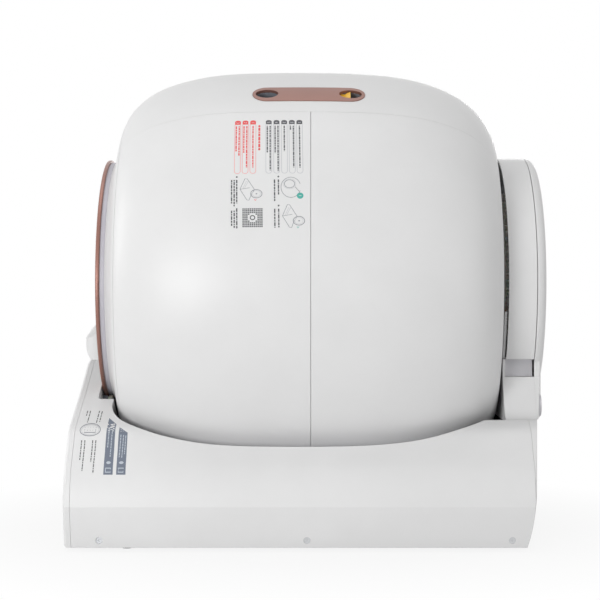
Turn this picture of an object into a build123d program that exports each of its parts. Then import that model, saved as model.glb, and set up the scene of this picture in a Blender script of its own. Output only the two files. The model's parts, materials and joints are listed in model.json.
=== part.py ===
"""Self cleaning litter box: a barrel drum that turns on a low base with a rear drive column.

The frame has +Z up and the entrance towards -X. The origin is on the floor, under the centre of
the object's bounding box. All lengths are millimetres.
"""
import os
from math import acos, cos, degrees, hypot, pi, radians, sin, tan

from build123d import *

# General
wall = 3.0
fit_gap = 0.2
run_gap = 0.3
shaft_gap = 0.05
overrun = 1.0
drum_floor_gap = 48.0

# Drum
drum_radius = 277.0
seam_x = 12.0
seam_gap = 0.5
front_length = 258.0
rear_length = 237.5
front_profile_shares = [
    (1.000, 0.572), (0.977, 0.614), (0.963, 0.671), (0.950, 0.729), (0.925, 0.786),
    (0.878, 0.844), (0.797, 0.901), (0.637, 0.958), (0.488, 0.985), (0.272, 0.998),
]
rear_profile_shares = [
    (0.365, 0.989), (0.600, 0.957), (0.775, 0.901), (0.877, 0.844), (0.940, 0.786),
    (0.981, 0.729), (1.000, 0.693),
]
tongue_length = 8.0
tongue_wall = 2.5
frame_length = 17.5

# Top strip and handle
strip_half_angle = 41.0
handle_angle = 32.0
handle_half_angle = 9.0
handle_shift = 2.5
handle_length = 141.0
handle_width = 37.5
handle_proud = 0.8
well_half_length = 14.0
well_half_width = 11.0
well_spacing = 104.7
cup_wall = 1.6
cup_depth = 24.0
latch_width = 16.0
latch_height = 5.0
latch_length = 33.0
latch_drop = 4.3
latch_rise = 3.2
latch_slope = 8.8
latch_travel = 5.0
guide_wall = 2.0
guide_length = 12.0

# Entrance ring
neck_step = 5.44
neck_length = 6.0
neck_proud = 5.5
lip_overhang = 3.0
lip_length = 5.0
lip_edge = 1.6
mouth_step = 4.0
throat_step = 22.0
funnel_depth = 48.0
funnel_wall = 2.5

# Discharge port, door and sieve
port_inset = 19.0
port_length = 140.0
port_angle = -75.0
port_half_angle = 20.0
door_wall = 2.5
door_margin = 6.0
door_half_angle = 23.0
rail_lip = 4.0
rail_wall = 3.0
rail_extra_angle = 46.0
sieve_angle = -50.0
sieve_clear_angle = 9.0
sieve_reach = 112.0
sieve_wall = 3.0
sieve_front_gap = 96.0
sieve_rear_gap = 59.5
slot_width = 9.0
slot_pitch = 17.0
slot_margin = 14.0

# Rear disc, bearing and drive
disc_wall = 3.0
hub_radius = 32.0
hub_depth = 14.0
hub_length = 26.0
bushing_wall = 4.0
spindle_radius = 12.0
spindle_float = 0.5
gear_module = 3.0
gear_teeth = 76
pinion_teeth = 16
pressure_angle = 20.0
gear_backlash = 0.3
gear_standoff = 11.5
dedendum_share = 1.25
gear_width = 10.0
pinion_width = 8.0
gear_rim = 10.0
gear_screw_radius = 3.0
gear_screw_count = 6
output_shaft_radius = 4.0

# Base
base_bottom_z = 4.6
base_half_width = 250.0
base_foot_tuck = 14.0
hill_drop = 105.0
base_outline_shares = [
    (0.974, 0.127), (1.000, 0.250), (0.986, 0.357), (0.948, 0.454), (0.878, 0.545),
    (0.800, 0.649), (0.700, 0.699), (0.592, 0.748), (0.448, 0.806), (0.270, 0.888),
    (0.130, 0.957),
]
crease_index = 2
fascia_lead = 27.5
fascia_depth = 8.3
fascia_wall = 4.0
fascia_edge = 2.5
shell_rear_reach = 31.5
rear_cap_bulge = 21.5
rear_cap_tuck = 12.0
tuck_height = 62.0
tuck_shares = [
    (1.00, 0.00), (0.86, 0.10), (0.68, 0.20), (0.50, 0.32), (0.18, 0.66), (0.04, 0.88), (0.00, 1.00),
]
plan_arc = 60.0
shoulder_drop = 172.0
rim_gap = 18.0
groove_gap = 28.5
groove_front_gap = 1.5
groove_rear_gap = 7.5
groove_corner = 4.0
bay_rear_gap = 5.0
bay_front_gap = 3.0
deck_gap = 5.0
deck_wall = 2.5
deck_flange_drop = 3.0
deck_side_inset = 44.0
chute_half_width = 75.0
floor_wall = 3.0
floor_z = 5.2
foot_radius = 7.0
foot_edge = 1.0
foot_inset_x = 37.5
foot_inset_y = 45.0
rear_foot_inset_y = 85.0
screw_head_radius = 4.2
screw_shank_radius = 1.6
screw_length = 12.0
screw_slot_length = 4.4
screw_slot_width = 1.1
screw_slot_depth = 1.2
side_screw_z = 14.0
side_screw_front_inset = 34.2
side_screw_rear_inset = 27.0
side_screw_shift = 4.5
side_tab_length = 16.0
side_tab_width = 12.0
side_tab_height = 14.0
load_cell_length = 34.0
load_cell_width = 12.0
load_cell_height = 6.0

# Waste drawer
drawer_side_inset = 55.0
drawer_drop = 103.0
drawer_bottom_z = 10.5
bin_gap = 0.5
drawer_rear_inset = 46.0
drawer_rim_drop = 11.0
drawer_wall = 2.5
drawer_drum_gap = 12.0
runner_inset = 40.0
runner_width = 10.0
panel_gap = 0.8
panel_wall = 4.3
pull_half_width = 60.0
pull_height = 22.0
pull_depth = 18.0
corner_radius = 8.0

# Column, hood and cover
column_gap = 5.5
column_depth = 39.8
ledge_drop = 121.0
collar_drop = 38.0
collar_inset = 7.5
column_flare_shares = [(0.994, 0.000), (0.925, 0.132), (0.871, 0.358), (0.818, 0.660), (0.774, 1.000)]
post_y = 45.0
post_width = 15.0
post_depth = 15.3
hood_radius = 163.5
hood_lead = 4.0
hood_rise = 22.5
hood_neck_inset = 50.5
plate_setback = 18.5
plate_wall = 4.0
boss_radius = 24.0
boss_length = 14.0
spindle_flange_radius = 19.0
spindle_flange_wall = 4.0
cover_gap = 0.8
cover_depth = 11.7
cover_taper = 9.0
cover_round_shares = (0.62, 0.27)
tongue_inset = 63.5
inlet_inset = 38.5
inlet_rise = 15.0
inlet_radius = 13.5
inlet_bore = 3.2
inlet_length = 8.0
inlet_pin_radius = 1.0

# Drive motor and control board
gearbox_setback = 18.5
gearbox_half_width = 24.0
gearbox_height = 55.0
gearbox_top_gap = 5.0
motor_radius = 14.0
motor_length = 66.0
board_top_gap = 45.8
board_width = 90.0
board_wall = 1.6
board_rear_inset = 59.5
board_side_gap = 15.0

# Front rollers
roller_radius = 14.0
roller_width = 5.0
roller_angle = 20.0
roller_pin_radius = 2.5
bracket_wall = 6.4
bracket_half_width = 9.0
lip_gap = 1.5

# Control pod
pod_tuck = 26.5
pod_radius = 28.0
pod_depth = 13.0
pod_edge = 2.5
pod_rear_edge = 6.0
pod_tilt = 39.0
pod_drop = 60.0
pod_lead = 22.0
stalk_front_shares = [
    (-0.150, 0.000), (0.000, 0.107), (0.125, 0.241), (0.375, 0.420), (0.590, 0.541), (0.875, 0.643),
    (0.985, 0.741), (0.950, 0.800),
]
stalk_rear_shares = [(0.240, 0.950), (0.000, 0.660), (0.000, 0.000)]
face_radius = 24.5
face_wall = 2.0
button_radius = 4.0
button_length = 4.5
button_proud = 0.8
button_spacing = 14.0
button_drop = 9.0
button_gap = 0.25
lens_width = 28.0
lens_height = 13.0
lens_rise = 8.0

# Values that follow from the driving ones
axis_z = drum_radius + drum_floor_gap
front_x = seam_x - front_length
rear_x = seam_x + rear_length
frame_x = front_x + frame_length
mouth_frame_radius = front_profile_shares[0][1] * drum_radius
neck_radius = mouth_frame_radius - neck_step
neck_front_x = front_x - neck_length
track_radius = neck_radius + neck_proud
lip_radius = track_radius + lip_overhang
lip_front_x = neck_front_x - lip_length
mouth_radius = neck_radius - mouth_step
throat_radius = neck_radius - throat_step
handle_x = seam_x - handle_shift
latch_x = handle_x + well_spacing / 2
port_start_x = seam_x + port_inset
sieve_root = drum_radius - sieve_reach
sieve_front_x = front_x + sieve_front_gap
sieve_rear_x = rear_x - sieve_rear_gap
gear_start_x = rear_x + gear_standoff
gear_pitch_radius = gear_module * gear_teeth / 2
pinion_pitch_radius = gear_module * pinion_teeth / 2
gear_tip_radius = gear_pitch_radius + gear_module
gear_root_radius = gear_pitch_radius - dedendum_share * gear_module
pinion_z = axis_z - gear_pitch_radius - pinion_pitch_radius
base_foot_half_width = base_half_width - base_foot_tuck
hill_top_z = axis_z - hill_drop
fascia_front_x = lip_front_x - fascia_lead
fascia_rear_x = fascia_front_x + fascia_depth
shell_rear_x = rear_x + shell_rear_reach
shoulder_z = axis_z - shoulder_drop
groove_radius = lip_radius + groove_gap
groove_front_x = lip_front_x - groove_front_gap
groove_rear_x = front_x + groove_rear_gap
drum_bay_rear_x = rear_x + bay_rear_gap
floor_top_z = floor_z + floor_wall
side_screw_xs = (
    fascia_rear_x + side_screw_front_inset,
    seam_x - side_screw_shift,
    shell_rear_x - side_screw_rear_inset,
)
foot_x = rear_x - foot_inset_x
foot_y = base_half_width - foot_inset_y
rear_foot_y = base_half_width - rear_foot_inset_y
drawer_half_width = base_half_width - drawer_side_inset
drawer_top_z = hill_top_z - drawer_drop
drawer_rim_z = drawer_top_z - drawer_rim_drop
drawer_rear_x = shell_rear_x - drawer_rear_inset
bin_bottom_z = drawer_bottom_z + bin_gap
runner_top_z = bin_bottom_z - fit_gap
runner_y = drawer_half_width - runner_inset
pull_bottom_z = drawer_rim_z - pull_height
deck_flange_z = drawer_top_z - deck_flange_drop
deck_side_y = base_half_width - deck_side_inset
column_front_x = rear_x + column_gap
column_rear_x = column_front_x + column_depth
ledge_z = axis_z - ledge_drop
post_front_x = column_front_x + wall + fit_gap
post_rear_x = post_front_x + post_depth
ledge_half_width = column_flare_shares[-1][0] * hood_radius
collar_top_z = axis_z - collar_drop
collar_radius = hood_radius - collar_inset
hood_front_x = column_front_x + hood_lead
hood_rear_x = column_rear_x - cover_gap
hood_cut_z = ledge_z + hood_rise
neck_half_width = hood_radius - hood_neck_inset
plate_front_x = hood_rear_x - plate_setback
cover_rear_x = column_rear_x + cover_depth
tongue_rear_half_width = hood_radius - tongue_inset
inlet_y = inlet_inset - hood_radius
inlet_z = shoulder_z + inlet_rise
gearbox_front_x = column_front_x + gearbox_setback
gearbox_top_z = ledge_z - gearbox_top_gap
gearbox_bottom_z = gearbox_top_z - gearbox_height
board_x = rear_x - board_rear_inset
board_y = deck_side_y + board_side_gap
board_top_z = deck_flange_z - board_top_gap
pod_y = lip_radius - pod_tuck
pod_center_z = axis_z - pod_drop
pod_front_x = fascia_front_x - pod_lead


def block(x_range, y_range, z_range):
    """Box between the given limits."""
    size = [limits[1] - limits[0] for limits in (x_range, y_range, z_range)]
    place = [(limits[1] + limits[0]) / 2 for limits in (x_range, y_range, z_range)]
    return Pos(*place) * Box(*size)


def rod(radius, x_range, y=0, z=axis_z):
    """Cylinder along X between two X limits."""
    length = x_range[1] - x_range[0]
    turn = Pos((x_range[0] + x_range[1]) / 2, y, z) * Rot(0, 90, 0)
    return turn * Cylinder(radius, length)


def ring(outer, inner, x_range, y=0, z=axis_z):
    """Tube along X between two X limits."""
    return rod(outer, x_range, y, z) - rod(inner, (x_range[0] - overrun, x_range[1] + overrun), y, z)


def inset(points, amount):
    """Points of an open outline moved sideways, to the left of its run, by the amount."""
    moved = []
    last = len(points) - 1
    for index, (a, b) in enumerate(points):
        before = points[max(index - 1, 0)]
        after = points[min(index + 1, last)]
        step_a = after[0] - before[0]
        step_b = after[1] - before[1]
        length = hypot(step_a, step_b)
        moved.append((a - amount * step_b / length, b + amount * step_a / length))
    return moved


def drum_points():
    """Outer profile of the drum from the rear rim to the front neck, as (x, radius)."""
    rear = [(seam_x + a * rear_length, b * drum_radius) for a, b in reversed(rear_profile_shares)]
    front = [(seam_x - a * front_length, b * drum_radius) for a, b in reversed(front_profile_shares)]
    return rear + [(seam_x, drum_radius)] + front


def profile_curve(depth):
    """Drum profile at a depth under the outer surface, in the XZ plane."""
    return Spline(*[(x, 0, r) for x, r in inset(drum_points(), depth)])


def band_face(depth_out, depth_in, x_range):
    """Section of the drum wall between two depths, cut to an X range."""
    outer = profile_curve(depth_out)
    inner = profile_curve(depth_in)
    closers = [Line(outer @ 0, inner @ 0), Line(outer @ 1, inner @ 1)]
    face = make_face(Curve() + [outer, inner] + closers)
    return face & slab_face(x_range)


def slab_face(x_range):
    """Face in the XZ plane from the drum axis out, between two X limits."""
    low, high = x_range
    top = 2 * drum_radius
    corners = [(low, 0, 0), (high, 0, 0), (high, 0, top), (low, 0, top)]
    return make_face(Polyline(*corners, close=True))


def spun(face, start=0, arc=360):
    """Face in the XZ plane turned about the drum axis, from an angle towards -Y."""
    return Pos(0, 0, axis_z) * Rot(start, 0, 0) * revolve(face, Axis.X, revolution_arc=arc)


def core(depth, x_range=(-front_length, rear_length + front_length)):
    """Everything inside the drum surface at a depth, down to the axis."""
    curve = profile_curve(depth)
    first = curve @ 0
    last = curve @ 1
    below = Polyline(first, (first.X, 0, 0), (last.X, 0, 0), last)
    return spun(make_face(Curve() + [curve, below]) & slab_face(x_range))


def bay(gap):
    """Room that the drum needs in the base, with a radial gap."""
    stretch = 1 + bay_front_gap / front_length
    points = [(x if x > seam_x else seam_x + (x - seam_x) * stretch, 0, r + gap) for x, r in drum_points()]
    curve = Spline(*points)
    rear_top = (drum_bay_rear_x, 0, points[0][2])
    edges = [
        Line((drum_bay_rear_x, 0, 0), rear_top),
        Line(rear_top, points[0]),
        Line(points[-1], (points[-1][0], 0, 0)),
        Line((points[-1][0], 0, 0), (drum_bay_rear_x, 0, 0)),
    ]
    room = spun(make_face(Curve() + [curve] + edges) & slab_face((groove_rear_x, drum_bay_rear_x)))
    return room


def radial_plane(x, angle, depth=0):
    """Plane on the drum's top line at an angle, with its normal pointing outwards."""
    radius = drum_radius - depth
    origin = (x, -radius * sin(radians(angle)), axis_z + radius * cos(radians(angle)))
    return Plane(origin=origin, x_dir=(1, 0, 0), z_dir=(0, -sin(radians(angle)), cos(radians(angle))))


def base_points():
    """Half outline of the base from its foot to the top of the hill, as (y, z)."""
    middle = [(a * base_half_width, b * hill_top_z) for a, b in base_outline_shares]
    return [(base_foot_half_width, base_bottom_z)] + middle + [(0, hill_top_z)]


def base_body(depth, x_range, drop=0):
    """Solid of the base outline at a depth under its surface, between two X limits."""
    half = inset(base_points(), depth)
    half[-1] = (0, hill_top_z - depth)
    points = half + [(-y, z) for y, z in reversed(half[:-1])]
    start = x_range[0]
    last = len(points) - 1
    breaks = (0, crease_index, last - crease_index, last)
    curves = [
        Spline(*[(start, y, z) for y, z in points[low:high + 1]]) for low, high in zip(breaks, breaks[1:])]
    first_y, first_z = points[0]
    low_z = first_z - drop
    foot = Polyline(
        (start, first_y, first_z), (start, first_y, low_z),
        (start, -first_y, low_z), (start, -first_y, first_z),
    ) if drop else Line((start, first_y, first_z), (start, -first_y, first_z))
    face = make_face(Curve() + curves + [foot])
    return extrude(face, amount=x_range[1] - start, dir=(1, 0, 0))


def gear(module, teeth, width, bore, backlash):
    """Spur gear along Z with involute flanks, one tooth centred on +X."""
    pitch = module * teeth / 2
    base = pitch * cos(radians(pressure_angle))
    tip = pitch + module
    root = pitch - dedendum_share * module
    half_tooth = (pi * module / 2 - backlash) / 2 / pitch
    roll = tan(radians(pressure_angle)) - radians(pressure_angle)
    flank = []
    steps = 4
    for step in range(steps + 1):
        radius = max(base, root) + (tip - max(base, root)) * step / steps
        turn = acos(min(1.0, base / radius))
        flank.append((radius, half_tooth + roll - (tan(turn) - turn)))
    outline = []
    if root < base:
        flank.insert(0, (root, flank[0][1]))
    for tooth in range(teeth):
        middle = 2 * pi * tooth / teeth
        sides = [(r, -a) for r, a in flank] + [(r, a) for r, a in reversed(flank)]
        outline += [(r * cos(middle + a), r * sin(middle + a)) for r, a in sides]
    body = extrude(make_face(Polyline(*outline, close=True)), amount=width)
    return body - Cylinder(bore, 4 * width)


def along_x(shape, x, y=0, z=axis_z, turn=0):
    """Shape built along Z from its origin, laid along +X at a place."""
    return Pos(x, y, z) * Rot(0, 90, 0) * Rot(0, 0, turn) * shape


parts = {}


def build_drum_shells():
    """Two half shells, the mouth frame and the strip that bridges them."""
    arc = 360 - 2 * strip_half_angle
    start = strip_half_angle
    front = spun(band_face(0, wall, (frame_x + fit_gap, seam_x - seam_gap / 2)), start, arc)
    rear = spun(band_face(0, wall, (seam_x + seam_gap / 2, rear_x + wall)), start, arc)
    tongue_in = wall + fit_gap
    rear += spun(
        band_face(tongue_in, tongue_in + tongue_wall, (seam_x - tongue_length, seam_x + tongue_length)),
        start, arc)
    rear += spun(
        band_face(wall - fit_gap, tongue_in + tongue_wall, (seam_x + seam_gap, seam_x + tongue_length)),
        start, arc)
    rear -= port_cutter(0)
    parts["drum_front_shell"] = front
    parts["drum_rear_shell"] = rear
    parts["mouth_frame"] = spun(band_face(0, wall, (front_x - wall, frame_x))) - rod(
        mouth_frame_radius, (front_x - wall, frame_x))
    edge = degrees(fit_gap / drum_radius)
    strip = spun(
        band_face(0, wall, (frame_x + fit_gap, rear_x + wall)),
        edge - strip_half_angle, 2 * (strip_half_angle - edge))
    parts["top_strip"] = strip - handle_prism(fit_gap)


def port_cutter(margin):
    """Sector that cuts the discharge port through the drum wall."""
    x_range = (port_start_x - margin, port_start_x + port_length + margin)
    outer_part = slab_face(x_range) & (Pos(0, 0, sieve_root) * slab_face(x_range))
    return spun(outer_part, port_angle - port_half_angle, 2 * port_half_angle)


def handle_prism(margin):
    """Stadium prism through the strip at the handle's place."""
    plane = radial_plane(handle_x, handle_angle, cup_depth)
    sketch = SlotOverall(handle_length + 2 * margin, handle_width + 2 * margin)
    return extrude(plane * sketch, amount=2 * cup_depth)


def well_prism(x, margin, depth):
    """Elliptical prism that stands outwards from a depth under the handle."""
    sketch = Ellipse(well_half_length + margin, well_half_width + margin)
    return extrude(radial_plane(x, handle_angle, depth) * sketch, amount=2 * cup_depth)


def build_handle():
    """Bezel and two finger cups."""
    half = handle_half_angle
    band = spun(band_face(-handle_proud, wall, (frame_x, rear_x)), handle_angle - half, 2 * half)
    bezel = band & handle_prism(0)
    inside = core(wall + fit_gap / 2, (frame_x, rear_x))
    for name, side in (("front_finger_cup", -1), ("rear_finger_cup", 1)):
        x = handle_x + side * well_spacing / 2
        bezel -= well_prism(x, fit_gap, wall + cup_depth)
        outer = well_prism(x, cup_wall, wall + cup_depth)
        hollow = well_prism(x, 0, wall + cup_depth - cup_wall)
        parts[name] = (outer - hollow) & inside
    parts["handle_bezel"] = bezel


def build_latch():
    """Slider with a thumb wedge in the rear well, and the guide that it runs in."""
    place = radial_plane(latch_x, handle_angle, latch_drop)
    middle = -latch_height / 2
    slider = place * Pos(-latch_length / 2, 0, middle) * Box(latch_length, latch_width, latch_height)
    slope = make_face(Polyline((-latch_slope, 0), (0, 0), (0, latch_rise), close=True))
    wedge = place * Rot(90, 0, 0) * extrude(slope, amount=latch_width / 2, both=True)
    wedge = wedge & well_prism(latch_x + latch_travel, -run_gap, wall + cup_depth)
    parts["latch_slider"] = slider + wedge
    slot_height = latch_height + 2 * wall
    slot_width = latch_width + 2 * run_gap
    slot = place * Pos(-latch_length / 2, 0, middle) * Box(latch_length, slot_width, slot_height)
    parts["rear_finger_cup"] -= slot
    guide_x = -well_half_length - cup_wall - fit_gap - guide_length / 2
    outer = place * Pos(guide_x, 0, middle) * Box(
        guide_length, latch_width + 2 * guide_wall, latch_height + 2 * guide_wall + latch_drop)
    hole = place * Pos(guide_x, 0, middle + wall) * Box(2 * guide_length, slot_width, slot_height + run_gap)
    inside = core(wall + fit_gap / 2, (frame_x, rear_x))
    parts["latch_guide"] = (outer - hole) & inside


def build_entrance():
    """Neck band, rose-gold lip and the funnel that keeps litter in."""
    parts["neck_band"] = ring(track_radius, neck_radius - wall, (neck_front_x, front_x)) + ring(
        mouth_frame_radius - fit_gap, neck_radius - wall, (front_x, front_x + wall))
    lip = ring(lip_radius, mouth_radius, (lip_front_x, neck_front_x))
    parts["lip_trim"] = fillet(lip.edges().filter_by(GeomType.CIRCLE), lip_edge)
    outer_front = neck_radius - wall - fit_gap
    start = neck_front_x + fit_gap
    end = front_x + wall
    deep = start + funnel_depth
    corners = [
        (start, 0, outer_front), (end, 0, outer_front), (deep, 0, throat_radius + funnel_wall),
        (deep, 0, throat_radius), (start, 0, outer_front - funnel_wall),
    ]
    parts["mouth_funnel"] = spun(make_face(Polyline(*corners, close=True)))


def build_port():
    """Discharge door, its two rails and the sieve screen."""
    first = port_start_x - door_margin
    last = port_start_x + port_length + door_margin
    outer = wall + run_gap
    inner = outer + door_wall
    parts["discharge_door"] = spun(
        band_face(outer, inner, (first, last)), port_angle - door_half_angle, 2 * door_half_angle)
    rail_low = port_angle - door_half_angle - rail_extra_angle
    rail_arc = 2 * door_half_angle + rail_extra_angle
    lip_out = inner + run_gap
    lip_in = lip_out + rail_wall
    foot = wall + fit_gap / 2
    for name, edge, way in (("door_rail_front", first, -1), ("door_rail_rear", last, 1)):
        outside = sorted((edge + way * run_gap, edge + way * (run_gap + rail_wall)))
        lip = sorted((edge - way * rail_lip, edge + way * (run_gap + rail_wall)))
        rail = spun(band_face(foot, lip_in, outside), rail_low, rail_arc)
        parts[name] = rail + spun(band_face(lip_out, lip_in, lip), rail_low, rail_arc)
    parts["sieve_screen"] = sieve_screen()


def sieve_screen():
    """Slotted radial screen that follows the inside of the barrel."""
    curve_depth = wall + fit_gap
    solid = core(curve_depth, (sieve_front_x, sieve_rear_x))
    plate = Pos(0, 0, axis_z) * Rot(sieve_angle, 0, 0) * block(
        (sieve_front_x, sieve_rear_x), (-sieve_wall / 2, sieve_wall / 2), (sieve_root, 2 * drum_radius))
    plate = plate & solid
    count = int((sieve_rear_x - sieve_front_x - 2 * slot_margin) / slot_pitch)
    middle = (sieve_front_x + sieve_rear_x) / 2
    top = drum_radius * rear_profile_shares[2][1] - wall - slot_margin
    slots = []
    for index in range(count):
        x = middle + (index - (count - 1) / 2) * slot_pitch
        slot = block(
            (x - slot_width / 2, x + slot_width / 2), (-sieve_wall, sieve_wall),
            (sieve_root + slot_margin, top))
        slots.append(Pos(0, 0, axis_z) * Rot(sieve_angle, 0, 0) * slot)
    return plate - slots - tongue_room()


def tongue_room():
    """Room round the seam tongue, which stands inside the barrel."""
    depth = wall + fit_gap + tongue_wall + fit_gap
    x_range = (seam_x - tongue_length - fit_gap, seam_x + tongue_length + fit_gap)
    return spun(band_face(0, depth, x_range), sieve_angle - sieve_clear_angle, 2 * sieve_clear_angle)


def build_rear_disc():
    """Rear disc with its hub, bushing and ring gear."""
    inner_rim = profile_curve(wall) @ 0
    disc_radius = inner_rim.Z - fit_gap
    disc_front = rear_x - disc_wall
    bore = spindle_radius + shaft_gap + bushing_wall
    hub_start = rear_x - hub_depth
    hub_end = hub_start + hub_length
    bore_start = hub_start + wall
    disc = rod(disc_radius, (disc_front, rear_x)) + rod(hub_radius, (hub_start, hub_end))
    disc -= rod(bore, (bore_start, hub_end + overrun))
    parts["rear_disc"] = disc
    parts["hub_bushing"] = ring(bore, spindle_radius + shaft_gap, (bore_start, hub_end))
    rim_inner = gear_root_radius - gear_rim
    toothed = gear(gear_module, gear_teeth, gear_width, rim_inner, gear_backlash)
    skirt = ring(gear_root_radius, rim_inner, (rear_x, gear_start_x + overrun))
    parts["ring_gear"] = along_x(toothed, gear_start_x) + skirt
    middle = gear_root_radius - gear_rim / 2
    screws = []
    for index in range(gear_screw_count):
        turn = 2 * pi * index / gear_screw_count
        y = middle * cos(turn)
        z = axis_z + middle * sin(turn)
        screws.append(rod(gear_screw_radius, (disc_front - disc_wall, disc_front), y, z))
        shank = rod(screw_shank_radius, (disc_front, gear_start_x), y, z)
        screws.append(shank)
        parts["rear_disc"] -= rod(screw_shank_radius, (disc_front, rear_x), y, z)
        parts["ring_gear"] -= rod(screw_shank_radius, (rear_x, gear_start_x), y, z)
    joined = screws[0]
    for screw in screws[1:]:
        joined += screw
    parts["gear_screws"] = joined


def build_drive():
    """Pinion on its output shaft, gearbox and motor."""
    turn = 180 / pinion_teeth
    start = gear_start_x + (gear_width - pinion_width)
    body = gear(gear_module, pinion_teeth, pinion_width, output_shaft_radius, gear_backlash)
    parts["drive_pinion"] = along_x(body, start, 0, pinion_z, turn)
    shaft_end = gearbox_front_x + gear_width
    parts["output_shaft"] = rod(output_shaft_radius, (start, shaft_end), 0, pinion_z)
    box = block((gearbox_front_x, column_rear_x - wall), (-gearbox_half_width, gearbox_half_width),
                (gearbox_bottom_z, gearbox_top_z))
    box -= rod(output_shaft_radius + shaft_gap, (gearbox_front_x - overrun, shaft_end + run_gap), 0, pinion_z)
    parts["gearbox"] = box
    can_x = (gearbox_front_x + column_rear_x - wall) / 2
    can = Pos(can_x, 0, gearbox_bottom_z - motor_length / 2) * Cylinder(motor_radius, motor_length)
    parts["drive_motor"] = can


def build_base():
    """Side shells, fascia, rear cap, deck and floor."""
    low = -overrun
    inner = base_body(wall, (fascia_rear_x - overrun, shell_rear_x + overrun), drop=2 * wall)
    inner = inner & plan_bulge(wall)
    shell = (base_body(0, (fascia_rear_x + fit_gap, shell_rear_x)) & plan_bulge(0)) - inner
    ridge_wall = base_body(wall / 2, (groove_front_x - wall, groove_front_x))
    liner = base_body(wall / 2, (groove_front_x - wall, groove_rear_x)) & ring(
        groove_radius + wall, groove_radius, (groove_front_x - wall, groove_rear_x))
    bulkhead = base_body(wall / 2, (groove_rear_x - wall, groove_rear_x)) - block(
        (fascia_front_x, 0), (-base_half_width, base_half_width), (low, deck_flange_z))
    shell += (ridge_wall & rod(groove_radius + wall, (groove_front_x - wall, groove_front_x))) + liner
    shell += bulkhead
    groove = rod(groove_radius, (groove_front_x, groove_rear_x + overrun))
    shell -= fillet(groove.edges().group_by(Axis.X)[0], groove_corner)
    shell -= bay(rim_gap)
    shell -= block(
        (drum_bay_rear_x - 2 * rim_gap, shell_rear_x + overrun),
        (-base_half_width, base_half_width), (shoulder_z, 2 * axis_z))
    for x in side_screw_xs:
        for way in (-1, 1):
            shell -= side_screw(x, way, 0)
    half = block(
        (2 * fascia_front_x, 2 * shell_rear_x), (-2 * base_half_width, -fit_gap / 2), (low, 2 * axis_z))
    left = shell & half
    parts["left_side_shell"] = left
    parts["right_side_shell"] = mirror(left, Plane.XZ)

    fascia = base_body(0, (fascia_front_x, fascia_rear_x))
    fascia = chamfer(fascia.faces().sort_by(Axis.X)[0].outer_wire().edges(), fascia_edge)
    fascia -= base_body(wall, (fascia_front_x + fascia_wall, fascia_rear_x + overrun), drop=2 * wall)
    opening = drawer_panel(panel_gap, (fascia_front_x - overrun, fascia_rear_x + overrun))
    parts["front_fascia"] = fascia - opening

    cap_range = (shell_rear_x + fit_gap, shell_rear_x + rear_cap_bulge)
    cap = base_body(0, cap_range) & plan_bulge(0)
    cap -= base_body(wall, (cap_range[0] - overrun, cap_range[1]), drop=2 * wall) & plan_bulge(wall) & block(
        (0, 2 * axis_z), (-base_half_width, base_half_width), (low, shoulder_z - wall))
    cap -= block((0, 2 * axis_z), (-base_half_width, base_half_width), (shoulder_z, 2 * axis_z))
    cap -= block(
        (0, column_rear_x - wall + fit_gap),
        (-gearbox_half_width - fit_gap, gearbox_half_width + fit_gap),
        (shoulder_z - 2 * wall, shoulder_z + overrun))
    parts["rear_cap"] = cap

    deck = core(-deck_gap - deck_wall, (groove_rear_x, drum_bay_rear_x)) & block(
        (groove_rear_x + fit_gap, rear_x + deck_gap),
        (-deck_side_y, deck_side_y), (floor_top_z, deck_flange_z))
    flange = base_body(wall + fit_gap, (groove_rear_x + fit_gap, drum_bay_rear_x - wall)) & block(
        (fascia_front_x, shell_rear_x),
        (-base_half_width, base_half_width), (deck_flange_z - deck_wall, deck_flange_z))
    deck += flange
    for way in (-1, 1):
        sides = sorted((way * deck_side_y, way * (deck_side_y - deck_wall)))
        deck += block((groove_rear_x + fit_gap, drum_bay_rear_x - wall), sides, (floor_top_z, deck_flange_z))
    deck -= core(-deck_gap, (groove_rear_x - overrun, drum_bay_rear_x))
    deck -= rod((rear_profile_shares[-1][1] * drum_radius) + deck_gap, (rear_x, drum_bay_rear_x))
    deck -= block((port_start_x, port_start_x + port_length), (-chute_half_width, chute_half_width),
                  (floor_top_z, deck_flange_z))
    parts["cradle_deck"] = deck

    floor_range = (fascia_rear_x, shell_rear_x + rear_cap_bulge)
    floor = base_body(wall + fit_gap, floor_range) & plan_bulge(wall + fit_gap) & block(
        floor_range, (-base_half_width, base_half_width), (floor_z, floor_top_z))
    for x in side_screw_xs:
        for way in (-1, 1):
            reach = base_foot_half_width - wall - overrun
            sides = sorted((way * reach, way * (reach - side_tab_width)))
            tab = block((x - side_tab_length / 2, x + side_tab_length / 2), sides,
                        (floor_top_z, floor_top_z + side_tab_height))
            floor = floor + tab - side_screw(x, way, 0)
    for way in (-1, 1):
        sides = sorted((way * (runner_y - runner_width / 2), way * (runner_y + runner_width / 2)))
        floor += block((fascia_rear_x, drawer_rear_x), sides, (floor_top_z, runner_top_z))
    parts["base_floor"] = floor
    screws = [side_screw(x, way, fit_gap / 4) for x in side_screw_xs for way in (-1, 1)]
    parts["side_screws"] = Compound(children=screws)
    feet = []
    for x, half_y in ((-foot_x, foot_y), (foot_x, rear_foot_y)):
        for y in (-half_y, half_y):
            foot = Pos(x, y, floor_z / 2) * Cylinder(foot_radius, floor_z)
            feet.append(chamfer(foot.edges().group_by(Axis.Z)[0], foot_edge))
    parts["rubber_feet"] = Compound(children=feet)
    cells = []
    for x in (-foot_x, foot_x):
        for way in (-1, 1):
            inner_y = deck_side_y + fit_gap
            y_range = sorted((way * (inner_y + load_cell_width), way * inner_y))
            cells.append(block((x - load_cell_length / 2, x + load_cell_length / 2), y_range,
                               (floor_top_z, floor_top_z + load_cell_height)))
    parts["load_cells"] = Compound(children=cells)


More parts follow.
